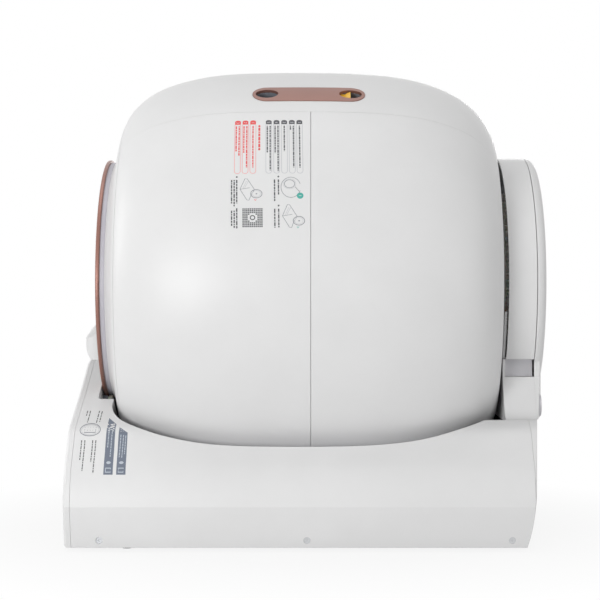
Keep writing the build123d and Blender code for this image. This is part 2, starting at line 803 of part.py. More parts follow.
def side_screw(x, way, gap):
    """Countersunk screw along Y at the foot of a side shell, pointing inwards."""
    face_y = base_foot_half_width + wall
    head = screw_head_radius - gap
    shank = screw_shank_radius - gap
    cone = Cone(shank, head, head - shank)
    depth = head - shank
    seat = depth + wall / 2
    screw = Pos(0, 0, -seat + depth / 2) * cone + Pos(0, 0, -seat - (screw_length - gap) / 2) * Cylinder(
        shank, screw_length - gap)
    if gap:
        deep = Pos(0, 0, depth - seat - screw_slot_depth / 2)
        screw -= deep * Box(screw_slot_length, screw_slot_width, screw_slot_depth)
        screw -= deep * Box(screw_slot_width, screw_slot_length, screw_slot_depth)
    else:
        screw += Pos(0, 0, -seat + depth + wall) * Cylinder(head, 2 * wall)
    return Pos(x, way * face_y, side_screw_z) * Rot(-way * 90, 0, 0) * screw


def plan_bulge(depth):
    """Rounded rear end of the base in plan, tucked in towards its foot, as a tall solid."""
    radius = (base_half_width ** 2 + rear_cap_bulge ** 2) / (2 * rear_cap_bulge)
    center_x = shell_rear_x + rear_cap_bulge - depth - radius
    foot = [(radius - a * rear_cap_tuck, 0, b * tuck_height) for a, b in tuck_shares]
    inner = radius / 2
    back = Polyline(foot[-1], (radius, 0, axis_z), (inner, 0, axis_z), (inner, 0, 0), foot[0])
    sector = revolve(make_face(Curve() + [Spline(*foot), back]), Axis.Z, revolution_arc=plan_arc)
    return Pos(center_x, 0, 0) * Rot(0, 0, -plan_arc / 2) * sector


def drawer_panel(gap, x_range):
    """Rounded panel of the drawer front, with a gap all round."""
    width = 2 * (drawer_half_width + gap)
    height = drawer_top_z - drawer_bottom_z + 2 * gap
    middle = (drawer_top_z + drawer_bottom_z) / 2
    plane = Plane(origin=(x_range[0], 0, middle), x_dir=(0, 1, 0), z_dir=(1, 0, 0))
    sketch = plane * RectangleRounded(width, height, corner_radius + gap)
    return extrude(sketch, amount=x_range[1] - x_range[0])


def build_drawer():
    """Waste bin, its front panel and the finger pull."""
    panel_rear = fascia_front_x + panel_wall
    bin_range = (panel_rear, drawer_rear_x)
    under_rim = block(bin_range, (-drawer_half_width, drawer_half_width), (0, drawer_rim_z))
    body = drawer_panel(-bin_gap, bin_range) & under_rim
    body -= drawer_panel(-bin_gap - drawer_wall, (bin_range[0] + drawer_wall, bin_range[1] - drawer_wall))
    body -= rod(drum_radius + drawer_drum_gap, (bin_range[0] - overrun, bin_range[1] + overrun))
    body -= block(
        (panel_rear - overrun, panel_rear + pull_depth + fit_gap),
        (-pull_half_width - wall, pull_half_width + wall),
        (pull_bottom_z - wall, drawer_rim_z + wall))
    parts["drawer_bin"] = body
    panel = drawer_panel(0, (fascia_front_x, panel_rear))
    pull_z = (pull_bottom_z, pull_bottom_z + pull_height)
    pull_y = (-pull_half_width, pull_half_width)
    panel -= block((fascia_front_x - overrun, panel_rear + overrun), pull_y, pull_z)
    parts["drawer_front"] = panel
    cup_y = (-pull_half_width - drawer_wall, pull_half_width + drawer_wall)
    cup_z = (pull_z[0] - drawer_wall, pull_z[1] + drawer_wall)
    cup = block((panel_rear, panel_rear + pull_depth), cup_y, cup_z)
    cup -= block((panel_rear - overrun, panel_rear + pull_depth - drawer_wall), pull_y, pull_z)
    parts["drawer_pull"] = cup


def column_points():
    """Half outline of the column's flare from its foot to the ledge, as (y, z)."""
    rise = ledge_z - shoulder_z
    return [(a * hood_radius, shoulder_z + b * rise) for a, b in column_flare_shares]


def column_solid(x_range):
    """Full solid of the flared column between two X limits."""
    start = x_range[0]
    half = column_points()
    foot_y, foot_z = half[0]
    top_y, top_z = half[-1]
    edges = [
        Spline(*[(start, y, z) for y, z in half]),
        Spline(*[(start, -y, z) for y, z in half]),
        Line((start, top_y, top_z), (start, -top_y, top_z)),
        Line((start, foot_y, foot_z), (start, -foot_y, foot_z)),
    ]
    return extrude(make_face(Curve() + edges), amount=x_range[1] - start, dir=(1, 0, 0))


def column_hollow(x_range):
    """Room inside the flared column, one wall under its surface, between two X limits."""
    start = x_range[0]
    half = inset(column_points(), wall)
    points = [(half[0][0], shoulder_z - 2 * wall)] + half[1:-1] + [(half[-1][0], ledge_z - wall)]
    outline = Polyline(
        *[(start, y, z) for y, z in points],
        *[(start, -y, z) for y, z in reversed(points)], close=True)
    return extrude(make_face(outline), amount=x_range[1] - start, dir=(1, 0, 0))


def column_plate():
    """Foot plate of the column on the base, open for the drive and the posts."""
    foot_x_range = (drum_bay_rear_x + fit_gap, shell_rear_x)
    plate = base_body(wall, foot_x_range) & block(
        (column_front_x - overrun, shell_rear_x),
        (-base_half_width, base_half_width), (shoulder_z - wall, shoulder_z))
    room = block(
        (column_front_x + wall, shell_rear_x + overrun),
        (-post_y - post_width, post_y + post_width), (0, shoulder_z + overrun))
    return plate - room


def build_column():
    """Rear column with its collar, posts, power inlet and control board."""
    tower = column_solid((column_front_x, column_rear_x))
    tower -= column_hollow((column_front_x + wall, column_rear_x - wall))
    tower += column_plate()
    collar_range = (column_front_x, column_front_x + wall)
    collar = rod(collar_radius, collar_range) & block(
        collar_range, (-hood_radius, hood_radius), (hood_cut_z, collar_top_z))
    collar += block(collar_range, (-ledge_half_width, ledge_half_width), (ledge_z - wall, hood_cut_z))
    tower += collar - rod(
        gear_root_radius + deck_wall, (column_front_x - overrun, column_front_x + wall + overrun))
    slot = pinion_pitch_radius + 2 * gear_module
    tower -= block(
        (column_front_x + wall, gearbox_front_x), (-slot, slot), (ledge_z - 2 * wall, ledge_z + overrun))
    tower -= rod(inlet_bore * 2, (column_rear_x - 2 * wall, column_rear_x + overrun), inlet_y, inlet_z)
    parts["column_housing"] = tower
    for name, way in (("column_post_left", -1), ("column_post_right", 1)):
        sides = sorted((way * post_y, way * (post_y + post_width - fit_gap)))
        post = block((post_front_x, post_rear_x), sides, (floor_top_z, ledge_z - wall))
        post -= block((post_front_x + wall, post_rear_x + overrun),
                      sorted((way * (post_y + wall), way * (post_y + post_width - wall))),
                      (floor_top_z + wall, ledge_z - 2 * wall))
        parts[name] = post
    mouth_x = column_rear_x + inlet_length
    inlet = rod(inlet_radius, (column_rear_x, mouth_x), inlet_y, inlet_z)
    inlet += rod(inlet_bore * 2 - fit_gap, (column_rear_x - 2 * wall, column_rear_x), inlet_y, inlet_z)
    inlet -= rod(inlet_bore, (column_rear_x - wall, mouth_x + overrun), inlet_y, inlet_z)
    inlet += rod(inlet_pin_radius, (column_rear_x - wall, mouth_x - overrun), inlet_y, inlet_z)
    parts["power_inlet"] = inlet
    parts["control_board"] = block(
        (board_x - board_width / 2, board_x + board_width / 2),
        (board_y - board_wall, board_y), (floor_top_z, board_top_z))


def build_carrier():
    """Hood, neck, bearing plate and spindle, which lift off with the drum."""
    above = block((column_front_x, 2 * axis_z), (-hood_radius, hood_radius), (hood_cut_z, 2 * axis_z))
    hood = ring(hood_radius, hood_radius - wall, (hood_front_x, hood_rear_x)) & above
    shelf = rod(hood_radius - wall / 2, (hood_front_x, hood_rear_x)) & block(
        (hood_front_x, hood_rear_x), (-hood_radius, hood_radius), (hood_cut_z, hood_cut_z + wall))
    hood += shelf
    gear_room = rod(gear_tip_radius + deck_wall, (column_front_x, plate_front_x - wall))
    hood -= gear_room
    inside_y = (-neck_half_width + wall, neck_half_width - wall)
    hood -= block((hood_front_x + wall, hood_rear_x + overrun), inside_y, (0, hood_cut_z + 2 * wall))
    parts["hood_shell"] = hood
    neck = block(
        (hood_front_x, hood_rear_x), (-neck_half_width, neck_half_width), (ledge_z + fit_gap, hood_cut_z))
    neck -= block((hood_front_x + wall, hood_rear_x - wall), inside_y, (ledge_z, hood_cut_z + overrun))
    neck -= gear_room
    pinion_room = pinion_pitch_radius + 2 * gear_module
    neck -= block(
        (hood_front_x - overrun, hood_front_x + wall + overrun),
        (-pinion_room, pinion_room), (ledge_z, hood_cut_z + overrun))
    parts["hood_neck"] = neck
    plate = rod(hood_radius - wall - fit_gap, (plate_front_x, plate_front_x + plate_wall)) & block(
        (0, 2 * axis_z), (-hood_radius, hood_radius), (hood_cut_z + wall + fit_gap, 2 * axis_z))
    plate += rod(boss_radius, (plate_front_x + plate_wall - boss_length, plate_front_x + plate_wall))
    plate -= rod(spindle_radius, (0, 2 * axis_z))
    for index in range(gear_screw_count):
        turn = pi * (index + 0.5) / gear_screw_count
        radius = (boss_radius + hood_radius) / 2
        plate -= rod(boss_radius / 2, (plate_front_x - overrun, plate_front_x + plate_wall + overrun),
                     radius * cos(turn), axis_z + radius * sin(turn))
    parts["bearing_plate"] = plate
    spindle_rear = plate_front_x + plate_wall
    tip = rear_x - hub_depth + wall + spindle_float
    parts["spindle"] = rod(spindle_radius, (tip, spindle_rear)) + rod(
        spindle_flange_radius, (spindle_rear, spindle_rear + spindle_flange_wall))


def build_cover():
    """Rear cover that closes the column and the hood from behind, with a hole for the inlet."""
    cover = cover_body(0) - cover_body(wall)
    cover -= rod(inlet_radius + fit_gap, (column_front_x, 2 * axis_z), inlet_y, inlet_z)
    parts["rear_cover"] = cover


def cover_body(depth):
    """Tapered disc that runs down into the column's outline, as the cover or as its hollow."""
    front = column_rear_x - (overrun if depth else 0)
    rear = cover_rear_x - depth
    start = (front, 0, hood_radius - depth)
    middle = (front + cover_round_shares[0] * cover_depth, 0, start[2] - cover_round_shares[1] * cover_taper)
    end = (rear, 0, start[2] - cover_taper)
    edges = [ThreePointArc(start, middle, end), Polyline(end, (rear, 0, 0), (front, 0, 0), start)]
    disc = spun(make_face(Curve() + edges))
    side = ledge_half_width - depth
    tongue = block((front, rear), (-side, side), (ledge_z - 2 * wall, hood_cut_z + 2 * wall))
    tongue += column_hollow((front, rear)) if depth else column_solid((front, rear))
    low = shoulder_z - (overrun if depth else -run_gap)
    front_y = hood_radius - depth
    rear_y = tongue_rear_half_width - depth
    corners = [(front, front_y), (rear, rear_y), (rear, -rear_y), (front, -front_y)]
    plan = extrude(Pos(0, 0, low) * make_face(Polyline(*corners, close=True)), amount=axis_z - low)
    return disc + (tongue & plan)


def build_rollers():
    """Two rollers under the neck, their cantilever pins and brackets."""
    distance = track_radius + run_gap + roller_radius
    middle = (neck_front_x + front_x) / 2
    wheel_range = (middle - roller_width / 2, middle + roller_width / 2)
    bracket_range = (groove_front_x, groove_front_x + bracket_wall)
    pins = []
    for side, way in (("left", -1), ("right", 1)):
        y = way * distance * sin(radians(roller_angle))
        z = axis_z - distance * cos(radians(roller_angle))
        parts["front_roller_" + side] = ring(roller_radius, roller_pin_radius + shaft_gap, wheel_range, y, z)
        pins.append(rod(roller_pin_radius, (groove_front_x, wheel_range[1]), y, z))
        bracket = block(bracket_range, (y - bracket_half_width, y + bracket_half_width),
                        (axis_z - 2 * groove_radius, z + roller_radius))
        bracket = bracket & rod(groove_radius - fit_gap / 2, bracket_range)
        bracket -= rod(lip_radius + lip_gap, (groove_front_x - overrun, 0))
        parts["roller_bracket_" + side] = bracket - rod(roller_pin_radius, (groove_front_x, 0), y, z)
    parts["roller_pins"] = Compound(children=pins)


def build_pod():
    """Tilted control pod on a stalk beside the entrance."""
    tilt = radians(pod_tilt)
    center_x = pod_front_x + (pod_radius - pod_edge) * sin(tilt) + pod_edge * (1 - cos(tilt))
    normal = (-cos(tilt), 0, sin(tilt))
    plane = Plane(origin=(center_x, pod_y, pod_center_z), x_dir=(0, -1, 0), z_dir=normal)
    disc = extrude(Circle(pod_radius), amount=-pod_depth)
    disc = fillet(disc.edges().group_by(Axis.Z)[-1], pod_edge)
    disc = fillet(disc.edges().group_by(Axis.Z)[0], pod_rear_edge)
    hill_rear = groove_front_x - wall
    rise = pod_center_z - shoulder_z
    start_y = pod_y - pod_radius
    front = [(fascia_front_x - a * pod_lead, start_y, shoulder_z + b * rise) for a, b in stalk_front_shares]
    rear = [
        (hill_rear - a * (hill_rear - center_x), start_y, shoulder_z + b * rise)
        for a, b in stalk_rear_shares]
    center = (center_x, start_y, pod_center_z)
    edges = Curve() + [Spline(*front), Polyline(front[-1], center, *rear, front[0])]
    stalk = extrude(make_face(edges), amount=2 * pod_radius, dir=(0, 1, 0))
    stalk = stalk & Pos(pod_front_x + pod_radius, pod_y, pod_center_z) * Cylinder(pod_radius, 2 * axis_z)
    stalk -= extrude(plane * Circle(2 * pod_radius), amount=pod_radius)
    body = plane * disc + stalk
    body -= base_body(-fit_gap / 2, (fascia_front_x - fit_gap / 2, groove_rear_x))
    body -= extrude(plane * Circle(face_radius + fit_gap), amount=-face_wall)
    pocket = pod_depth - wall
    body -= extrude(plane * Circle(face_radius - face_wall), amount=-pocket)
    parts["pod_housing"] = body
    face = extrude(plane * Circle(face_radius), amount=-face_wall)
    lens_place = plane * Pos(0, lens_rise, 0)
    face -= extrude(lens_place * Rectangle(lens_width, lens_height), amount=-face_wall)
    parts["display_lens"] = extrude(
        lens_place * Rectangle(lens_width - fit_gap, lens_height - fit_gap), amount=-face_wall)
    for index, name in enumerate(("clean_button", "power_button", "empty_button")):
        place = plane * Pos((index - 1) * button_spacing, -button_drop, 0)
        face -= extrude(place * Circle(button_radius + button_gap), amount=-face_wall)
        button = extrude(place * Pos(0, 0, button_proud) * Circle(button_radius), amount=-button_length)
        parts[name] = button
    parts["pod_face"] = face


build_drum_shells()
build_handle()
build_latch()
build_entrance()
build_port()
build_rear_disc()
build_drive()
build_base()
build_drawer()
build_column()
build_carrier()
build_cover()
build_rollers()
build_pod()

os.makedirs("parts", exist_ok=True)
for node, shape in parts.items():
    export_step(shape, os.path.join("parts", node + ".step"))
    print(node, round(shape.volume), len(shape.solids()))
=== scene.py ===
"""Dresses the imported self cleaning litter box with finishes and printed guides.

Lengths are in metres, except that names ending in mm and all the artwork of the printed guides are
in millimetres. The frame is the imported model's own: +Z is up, the entrance faces -X and the camera
looks along +Y at the side that carries the guides.
"""
import json
import logging
import math
from dataclasses import dataclass
from enum import Enum
from typing import Callable, Sequence

import bmesh
import bpy
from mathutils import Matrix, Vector
from mathutils.bvhtree import BVHTree


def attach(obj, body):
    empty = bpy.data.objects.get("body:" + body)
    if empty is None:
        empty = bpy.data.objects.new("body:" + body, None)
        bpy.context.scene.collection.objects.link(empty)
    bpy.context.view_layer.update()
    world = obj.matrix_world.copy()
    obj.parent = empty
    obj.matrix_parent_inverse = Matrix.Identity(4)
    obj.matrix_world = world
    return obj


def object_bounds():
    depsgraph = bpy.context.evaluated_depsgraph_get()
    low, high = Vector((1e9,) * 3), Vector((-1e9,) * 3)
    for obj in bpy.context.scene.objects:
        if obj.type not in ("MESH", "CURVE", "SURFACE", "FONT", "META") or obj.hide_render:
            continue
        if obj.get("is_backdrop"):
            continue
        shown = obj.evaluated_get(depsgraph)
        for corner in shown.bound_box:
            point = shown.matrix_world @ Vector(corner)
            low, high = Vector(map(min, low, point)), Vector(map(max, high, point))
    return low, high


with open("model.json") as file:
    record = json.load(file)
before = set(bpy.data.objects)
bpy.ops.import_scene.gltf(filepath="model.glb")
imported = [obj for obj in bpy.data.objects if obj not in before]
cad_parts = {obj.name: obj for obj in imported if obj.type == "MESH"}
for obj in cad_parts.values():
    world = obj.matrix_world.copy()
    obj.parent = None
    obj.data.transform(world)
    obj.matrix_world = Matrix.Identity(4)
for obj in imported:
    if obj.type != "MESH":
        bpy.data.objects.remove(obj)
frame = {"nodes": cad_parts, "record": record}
BOX_AT_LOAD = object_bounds()

MM = 0.001
LOG = logging.getLogger("litter_box")

Point = tuple[float, float]
Place = tuple[float, float, float]
Loop = Sequence[Point]

# The sRGB standard's transfer curve.
SRGB_KNEE = 0.04045
SRGB_SLOPE = 12.92
SRGB_OFFSET = 0.055
SRGB_POWER = 2.4

FULL_TURN = 360.0
HALF_TURN = 180.0
SMALL_STEPS = 12
ROUND_STEPS = 24
OVAL_STEPS = 40

# Height of an ink film over the moulding, and of its foot, which is sunk into the moulding.
FILM_MM = 0.10
FILM_FOOT_MM = -0.08


def linear(hex_colour: str) -> tuple[float, float, float, float]:
    """Turns an sRGB hex colour into linear light.

    Args:
        hex_colour: Six hex digits, as a paint chart gives them.

    Returns:
        Linear red, green and blue, and full opacity.
    """
    channels = [int(hex_colour[i:i + 2], 16) / 255 for i in (0, 2, 4)]
    red, green, blue = (
        c / SRGB_SLOPE if c <= SRGB_KNEE else ((c + SRGB_OFFSET) / (1 + SRGB_OFFSET)) ** SRGB_POWER
        for c in channels)
    return red, green, blue, 1.0


def add_node(
    tree: bpy.types.NodeTree, kind: str, settings: dict | None = None, links: dict | None = None
) -> bpy.types.Node:
    """Adds one shader node with its settings and the links that feed it.

    Args:
        tree: Node tree that gets the node.
        kind: Blender's name for the node.
        settings: Attribute names, or input names after a leading @, with their values.
        links: Input names or numbers with the output sockets that feed them.

    Returns:
        The new node.
    """
    node = tree.nodes.new(kind)
    for key, value in (settings or {}).items():
        if key.startswith("@"):
            node.inputs[key[1:]].default_value = value
        else:
            setattr(node, key, value)
    for key, socket in (links or {}).items():
        tree.links.new(socket, node.inputs[key])
    return node


def empty_material(name: str) -> tuple[bpy.types.Material, bpy.types.NodeTree]:
    """Makes a material with an empty node tree.

    Args:
        name: Name of the material.

    Returns:
        The material and its tree.
    """
    material = bpy.data.materials.new(name)
    material.use_nodes = True
    material.node_tree.nodes.clear()
    return material, material.node_tree


@dataclass(frozen=True)
class Finish:
    """A hard finish: one body colour with faint mottling, a surface grain and softened edges."""

    name: str
    colour: str
    second_colour: str
    roughness: float
    mottle_mm: float = 70.0
    grain_mm: float = 1.1
    grain_height_mm: float = 0.004
    wave_mm: float = 45.0
    wave_height_mm: float = 0.02
    edge_mm: float = 0.7
    metallic: float = 0.0
    ior: float = 1.5
    coat: float = 0.0
    coat_roughness: float = 0.1
    subsurface: float = 0.0
    subsurface_mm: float = 1.0
    stretch: Place = (1.0, 1.0, 1.0)
    roughness_spread: float = 0.05
    ramp_start: float = 0.3
    ramp_end: float = 0.7
    mottle_detail: float = 3.0
    grain_detail: float = 2.0
    wave_detail: float = 1.0
    edge_samples: int = 4

    def build(self) -> bpy.types.Material:
        """Builds the node tree of the finish.

        Returns:
            The material, ready to assign.
        """
        material, tree = empty_material(self.name)
        place = add_node(tree, "ShaderNodeTexCoord").outputs["Object"]
        run = add_node(tree, "ShaderNodeMapping", {"@Scale": self.stretch}, {"Vector": place}).outputs[0]
        mottle = self.noise(tree, place, self.mottle_mm, self.mottle_detail)
        grain = self.noise(tree, run, self.grain_mm, self.grain_detail)
        wave = self.noise(tree, place, self.wave_mm, self.wave_detail)
        ramp = add_node(tree, "ShaderNodeValToRGB", None, {"Fac": mottle})
        ramp.color_ramp.elements[0].position = self.ramp_start
        ramp.color_ramp.elements[0].color = linear(self.second_colour)
        ramp.color_ramp.elements[1].position = self.ramp_end
        ramp.color_ramp.elements[1].color = linear(self.colour)
        rough = add_node(
            tree, "ShaderNodeMapRange",
            {"@To Min": self.roughness - self.roughness_spread,
             "@To Max": self.roughness + self.roughness_spread},
            {"Value": mottle})
        edge = add_node(
            tree, "ShaderNodeBevel", {"samples": self.edge_samples, "@Radius": self.edge_mm * MM})
        broad = add_node(
            tree, "ShaderNodeBump", {"@Strength": 1.0, "@Distance": self.wave_height_mm * MM},
            {"Height": wave, "Normal": edge.outputs[0]})
        fine = add_node(
            tree, "ShaderNodeBump", {"@Strength": 1.0, "@Distance": self.grain_height_mm * MM},
            {"Height": grain, "Normal": broad.outputs[0]})
        shader = add_node(
            tree, "ShaderNodeBsdfPrincipled",
            {"@Metallic": self.metallic, "@IOR": self.ior, "@Coat Weight": self.coat,
             "@Coat Roughness": self.coat_roughness, "@Subsurface Weight": self.subsurface,
             "@Subsurface Scale": self.subsurface_mm * MM},
            {"Base Color": ramp.outputs[0], "Roughness": rough.outputs[0], "Normal": fine.outputs[0]})
        add_node(tree, "ShaderNodeOutputMaterial", None, {"Surface": shader.outputs[0]})
        return material

    @staticmethod
    def noise(
        tree: bpy.types.NodeTree, place: bpy.types.NodeSocket, size_mm: float, detail: float
    ) -> bpy.types.NodeSocket:
        """Adds a noise whose blots have a real size.

        Args:
            tree: Node tree that gets the noise.
            place: Socket with the place on the piece, in metres.
            size_mm: Size of one blot.
            detail: Octaves of finer blots.

        Returns:
            The noise value.
        """
        settings = {"@Scale": 1 / (size_mm * MM), "@Detail": detail}
        return add_node(tree, "ShaderNodeTexNoise", settings, {"Vector": place}).outputs[0]


class Finishes:
    """All the finishes of the object, keyed by the record's material slot."""

    def __init__(self) -> None:
        """Builds each finish once."""
        # Injection-moulded ABS with a fine spark-eroded texture: an even satin white, soft highlights.
        white = Finish("moulded_white_abs", "E7E7E7", "E4E4E4", 0.42)
        # The same ABS a shade cooler, for the cradle, the drawer's bin, the door and the buttons.
        light = Finish("moulded_light_grey_abs", "E2E1E5", "DEDDE1", 0.45)
        # ABS coloured through in slate grey, for the finger cups, the brackets and the pod's face.
        grey = Finish("moulded_slate_abs", "7C7F86", "787B82", 0.40)
        # Vacuum-metallised and lacquered ABS: a soft metal glow under a satin lacquer.
        rose = Finish("rose_gold_lacquered_abs", "966C61", "8F665B", 0.38, metallic=0.5, coat=0.25,
                      coat_roughness=0.3, grain_height_mm=0.002, roughness_spread=0.03)
        # ABS in a cool lilac grey for the neck band between lip and drum; its grey is partly the band's
        # own colour and partly painted shade from the lip's overhang.
        neck = Finish("lilac_grey_abs_painted_lip_shade", "BDBBC3", "B9B7BF", 0.45)
        # Bright yellow ABS of the latch, glossier than the shells.
        yellow = Finish("moulded_yellow_abs", "FCC232", "F7BC2C", 0.30)
        # Natural acetal: milky and a little see-through at thin edges.
        acetal = Finish("machined_acetal", "ECEAE2", "E8E6DD", 0.35, subsurface=0.25, subsurface_mm=1.5,
                        ior=1.48)
        # Zinc-plated steel, turned, with rings left by the tool.
        steel = Finish("zinc_plated_steel", "C9CACC", "BFC1C4", 0.28, metallic=1.0, edge_mm=0.3,
                       stretch=(1.0, 1.0, 6.0), grain_mm=0.8)
        # Deep-drawn steel of the motor can, with long marks along the draw.
        motor = Finish("drawn_motor_can_steel", "A9ABAE", "A1A3A7", 0.38, metallic=1.0,
                       stretch=(1.0, 1.0, 0.1))
        # Vulcanised rubber, matt with a dry bloom.
        rubber = Finish("vulcanised_rubber", "2B2C2E", "343537", 0.75, grain_mm=0.9, grain_height_mm=0.03,
                        ior=1.52, edge_mm=0.5)
        # Glass epoxy under a green solder mask, glossy with a fine mottle.
        board = Finish("solder_masked_glass_epoxy", "1F5A3A", "1A4F33", 0.30, mottle_mm=9.0, coat=0.4)
        # Smoke-tinted acrylic of the display, polished.
        lens = Finish("tinted_acrylic", "15171B", "191B20", 0.08, ior=1.49, grain_height_mm=0.0005,
                      coat=0.5, coat_roughness=0.03, roughness_spread=0.02)
        # Bead-blasted aluminium of the load cells: an even, dull metal.
        alloy = Finish("bead_blasted_aluminium", "B9BBBE", "B1B3B6", 0.45, metallic=1.0, grain_mm=0.7,
                       grain_height_mm=0.01)
        self.slots: dict[str, bpy.types.Material] = {
            "white_abs": white.build(), "light_grey_abs": light.build(), "grey_abs": grey.build(),
            "rose_gold": rose.build(), "neck_plastic": neck.build(), "yellow_abs": yellow.build(),
            "acetal": acetal.build(), "steel": steel.build(), "motor_steel": motor.build(),
            "rubber": rubber.build(), "circuit_board": board.build(), "dark_lens": lens.build(),
            "load_cell_alloy": alloy.build(),
        }

    def dress_nodes(self) -> None:
        """Gives every carried-over solid the finish of its slot."""
        for part in frame["record"]["subparts"]:
            piece = frame["nodes"][part["node"]]
            piece.data.materials.clear()
            piece.data.materials.append(self.slots[part["material_slot"]])


class Ink(Enum):
    """Print inks by sRGB colour."""

    SLATE = "4A4B50"
    GREY = "8E9096"
    PALE = "C3C4C8"
    RED = "E8504F"
    SOFT_RED = "EFA09E"
    TEAL = "4FAFA3"
    BAR = "737B8A"
    WHITE = "ECECEC"
    MIST = "C3CAD3"


# Inks printed over another ink, with the height that clears it.
FILM_HEIGHTS_MM = {Ink.WHITE: 0.14, Ink.MIST: 0.16}


@dataclass(frozen=True)
class InkFilm:
    """Pad-printed ink: a thin matt film that follows the moulding under it."""

    ink: Ink

    def build(self) -> bpy.types.Material:
        """Builds the film's material.

        Returns:
            The material, with the faint unevenness of a pad print.
        """
        film = Finish("pad_print_" + self.ink.name.lower(), self.ink.value, self.ink.value,
                      roughness=0.55, mottle_mm=6.0, grain_mm=0.8, edge_mm=0.05, roughness_spread=0.08)
        return film.build()


def box_loop(left: float, low: float, right: float, high: float) -> list[Point]:
    """Corners of an upright rectangle.

    Args:
        left: Lowest first coordinate.
        low: Lowest second coordinate.
        right: Highest first coordinate.
        high: Highest second coordinate.

    Returns:
        Its four corners.
    """
    return [(left, low), (right, low), (right, high), (left, high)]


def arc_loop(
    center: Point, radii: Point, start: float = 0.0, sweep: float = FULL_TURN, steps: int = OVAL_STEPS
) -> list[Point]:
    """Points along an ellipse or a part of one.

    Args:
        center: Centre of the ellipse.
        radii: Its two half axes.
        start: First angle in degrees.
        sweep: Angle covered in degrees.
        steps: Number of spans.

    Returns:
        The points, without a repeat of the first where the ellipse is whole.
    """
    count = steps if abs(sweep) >= FULL_TURN else steps + 1
    angles = [math.radians(start + sweep * i / steps) for i in range(count)]
    return [(center[0] + radii[0] * math.cos(a), center[1] + radii[1] * math.sin(a)) for a in angles]


def between(first: Point, last: Point, share: float) -> Point:
    """Finds the point a share of the way from one point to another.

    Args:
        first: Point at share zero.
        last: Point at share one.
        share: Share of the way.

    Returns:
        The point.
    """
    return first[0] + (last[0] - first[0]) * share, first[1] + (last[1] - first[1]) * share


@dataclass(frozen=True)
class Line:
    """A line or closed outline of a drawing, placed from the drawing's middle."""

    ink: Ink
    points: tuple[Point, ...]
    width: float
    closed: bool = False

    def outline(self, at: Point) -> list[Point]:
        """Moves the points to the drawing's place.

        Args:
            at: Middle of the drawing.

        Returns:
            The moved points.
        """
        return [(at[0] + x, at[1] + y) for x, y in self.points]


@dataclass(frozen=True)
class Oval:
    """An oval of a drawing, placed from the drawing's middle and filled where it has no width."""

    ink: Ink
    middle: Point
    radii: Point
    width: float = 0.0
    start: float = 0.0
    sweep: float = FULL_TURN
    steps: int = OVAL_STEPS

    @property
    def closed(self) -> bool:
        """Whether the oval is whole."""
        return self.sweep >= FULL_TURN

    def outline(self, at: Point) -> list[Point]:
        """Works out the points at the drawing's place.

        Args:
            at: Middle of the drawing.

        Returns:
            The points.
        """
        center = (at[0] + self.middle[0], at[1] + self.middle[1])
        return arc_loop(center, self.radii, self.start, self.sweep, self.steps)


@dataclass(frozen=True)
class FillerText:
    """Filler text: the dashes that it repeats, the gap between them and their width.

    A line's middle times stir gives the number of its first dash, so that no two lines are alike.
    """

    dashes: tuple[float, ...]
    gap: float
    width: float
    stir: float = 0.0

    def spans(self, across: float, start: float, end: float) -> list[Point]:
        """Splits one line of text into dashes.

        Args:
            across: Middle of the line, which picks the dash that it begins with.
            start: Where the line starts.
            end: Where it ends, further up or down.

        Returns:
            Start and end of each dash.
        """
        way = math.copysign(1, end - start)
        index = round(abs(across) * self.stir)
        place = start
        spans = []
        while place * way < end * way:
            reach = place + way * self.dashes[index % len(self.dashes)]
            stop = min(reach, end, key=lambda value: value * way)
            spans.append((place, stop))
            place = stop + way * self.gap
            index += 1
        return spans


